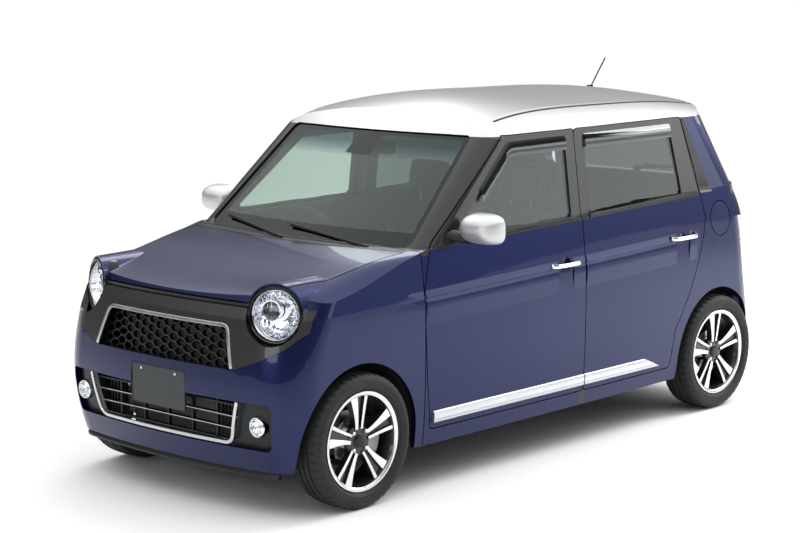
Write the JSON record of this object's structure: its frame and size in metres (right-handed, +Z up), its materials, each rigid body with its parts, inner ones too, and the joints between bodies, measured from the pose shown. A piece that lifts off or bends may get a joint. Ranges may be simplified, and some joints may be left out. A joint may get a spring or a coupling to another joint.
{
  "type": "kei car",
  "caption": "Small upright hatchback with side doors, a tailgate, round lamps, a contrast roof and opening lids",
  "frame": {"origin": "on the ground under the middle of the car's length and width", "axes": "+X forward along the car, +Y to the car's left, +Z up"},
  "size_m": [3.3914, 1.8314, 1.6998],
  "materials": {
    "body_paint": "deep blue metallic",
    "roof_paint": "silver metallic",
    "face_grey": "dark grey metallic",
    "bright": "polished",
    "black_trim": "fine grain",
    "window": "clear",
    "dark_window": "tinted",
    "lamp_clear": "clear",
    "lamp_red": "gloss",
    "lamp_bowl": "metallised",
    "tyre": "matt",
    "wheel_alloy": "machined and lacquered",
    "steel": "raw and coated",
    "cabin_plastic": "grained",
    "seat_fabric": "woven"
  },
  "bodies": {
    "body": {"antenna": "black_trim", "cabin_mirror": "cabin_plastic", "cowl_panel": "black_trim", "dashboard": "cabin_plastic", "engine_block": "steel", "exhaust": "steel", "face_panel": "face_grey", "floor_pan": "steel", "fog_lamps": "lamp_clear", "front_bumper": "body_paint", "front_fenders": "body_paint", "front_seats": "seat_fabric", "front_suspension": "steel", "fuel_tank": "cabin_plastic", "grille_trims": "bright", "headlamp_bowls": "lamp_bowl", "headlamp_lenses": "lamp_clear", "lower_grille": "black_trim", "number_plate": "black_trim", "radiator": "steel", "rear_axle": "steel", "rear_bumper": "body_paint", "rear_seat": "seat_fabric", "roof_panel": "roof_paint", "side_frames": "body_paint", "tail_lamps": "lamp_red", "upper_grille": "black_trim", "wheel_liners": "black_trim", "windscreen": "window", "wipers": "black_trim"},
    "bonnet": {"bonnet_panel": "body_paint"},
    "tailgate": {"tailgate_panel": "body_paint", "tailgate_glass": "dark_window"},
    "fuel_lid": {"fuel_lid": "body_paint"},
    "knuckle_left": {"knuckle_left": "steel"},
    "knuckle_right": {"knuckle_right": "steel"},
    "steering_wheel": {"steering_wheel": "cabin_plastic"},
    "front_door_left": {"front_door_left_panel": "body_paint", "front_door_left_glass": "window", "front_door_left_trim": "bright"},
    "wheel_front_left": {"wheel_front_left_rim": "wheel_alloy", "wheel_front_left_tyre": "tyre"},
    "rear_door_left": {"rear_door_left_panel": "body_paint", "rear_door_left_glass": "dark_window", "rear_door_left_trim": "bright"},
    "wheel_rear_left": {"wheel_rear_left_rim": "wheel_alloy", "wheel_rear_left_tyre": "tyre"},
    "front_door_right": {"front_door_right_panel": "body_paint", "front_door_right_glass": "window", "front_door_right_trim": "bright"},
    "wheel_front_right": {"wheel_front_right_rim": "wheel_alloy", "wheel_front_right_tyre": "tyre"},
    "rear_door_right": {"rear_door_right_panel": "body_paint", "rear_door_right_glass": "dark_window", "rear_door_right_trim": "bright"},
    "wheel_rear_right": {"wheel_rear_right_rim": "wheel_alloy", "wheel_rear_right_tyre": "tyre"}
  },
  "joints": [
    {"name": "steer_left", "type": "hinge", "parent": "body", "child": "knuckle_left", "pos_m": [1.2275, 0.619, 0.281], "axis": [0, -0.1854, 0.9827], "range_deg": [-35, 35]},
    {"name": "steer_right", "type": "hinge", "parent": "body", "child": "knuckle_right", "pos_m": [1.2275, -0.619, 0.281], "axis": [0, 0.1854, 0.9827], "range_deg": [-35, 35]},
    {"name": "steering_turn", "type": "hinge", "parent": "body", "child": "steering_wheel", "pos_m": [0.425, -0.345, 0.915], "axis": [-0.9, 0, 0.436], "range_deg": [-490, 490]},
    {"name": "wheel_front_left_spin", "type": "hinge", "parent": "knuckle_left", "child": "wheel_front_left", "pos_m": [1.2275, 0.6525, 0.281], "axis": [0, 1, 0], "continuous": true},
    {"name": "wheel_rear_left_spin", "type": "hinge", "parent": "body", "child": "wheel_rear_left", "pos_m": [-1.2925, 0.6525, 0.281], "axis": [0, 1, 0], "continuous": true},
    {"name": "front_door_left_hinge", "type": "hinge", "parent": "body", "child": "front_door_left", "pos_m": [0.855, 0.7365, 0.8], "axis": [0, 0, -1], "range_deg": [0, 65]},
    {"name": "rear_door_left_hinge", "type": "hinge", "parent": "body", "child": "rear_door_left", "pos_m": [-0.218, 0.7365, 0.8], "axis": [0, 0, -1], "range_deg": [0, 70]},
    {"name": "wheel_front_right_spin", "type": "hinge", "parent": "knuckle_right", "child": "wheel_front_right", "pos_m": [1.2275, -0.6525, 0.281], "axis": [0, 1, 0], "continuous": true},
    {"name": "wheel_rear_right_spin", "type": "hinge", "parent": "body", "child": "wheel_rear_right", "pos_m": [-1.2925, -0.6525, 0.281], "axis": [0, 1, 0], "continuous": true},
    {"name": "front_door_right_hinge", "type": "hinge", "parent": "body", "child": "front_door_right", "pos_m": [0.855, -0.7365, 0.8], "axis": [0, 0, 1], "range_deg": [0, 65]},
    {"name": "rear_door_right_hinge", "type": "hinge", "parent": "body", "child": "rear_door_right", "pos_m": [-0.218, -0.7365, 0.8], "axis": [0, 0, 1], "range_deg": [0, 70]},
    {"name": "bonnet_hinge", "type": "hinge", "parent": "body", "child": "bonnet", "pos_m": [0.897, 0, 1.018], "axis": [0, -1, 0], "range_deg": [0, 50]},
    {"name": "tailgate_hinge", "type": "hinge", "parent": "body", "child": "tailgate", "pos_m": [-1.268, 0, 1.55], "axis": [0, 1, 0], "range_deg": [0, 75]},
    {"name": "fuel_lid_hinge", "type": "hinge", "parent": "body", "child": "fuel_lid", "pos_m": [-1.228, 0.722, 0.942], "axis": [0, 0, -1], "range_deg": [0, 100]}
  ],
  "couplings": [
    {"joint": "steer_right", "follows": "steer_left", "ratio": 1},
    {"joint": "steering_turn", "follows": "steer_left", "ratio": 14}
  ]
}
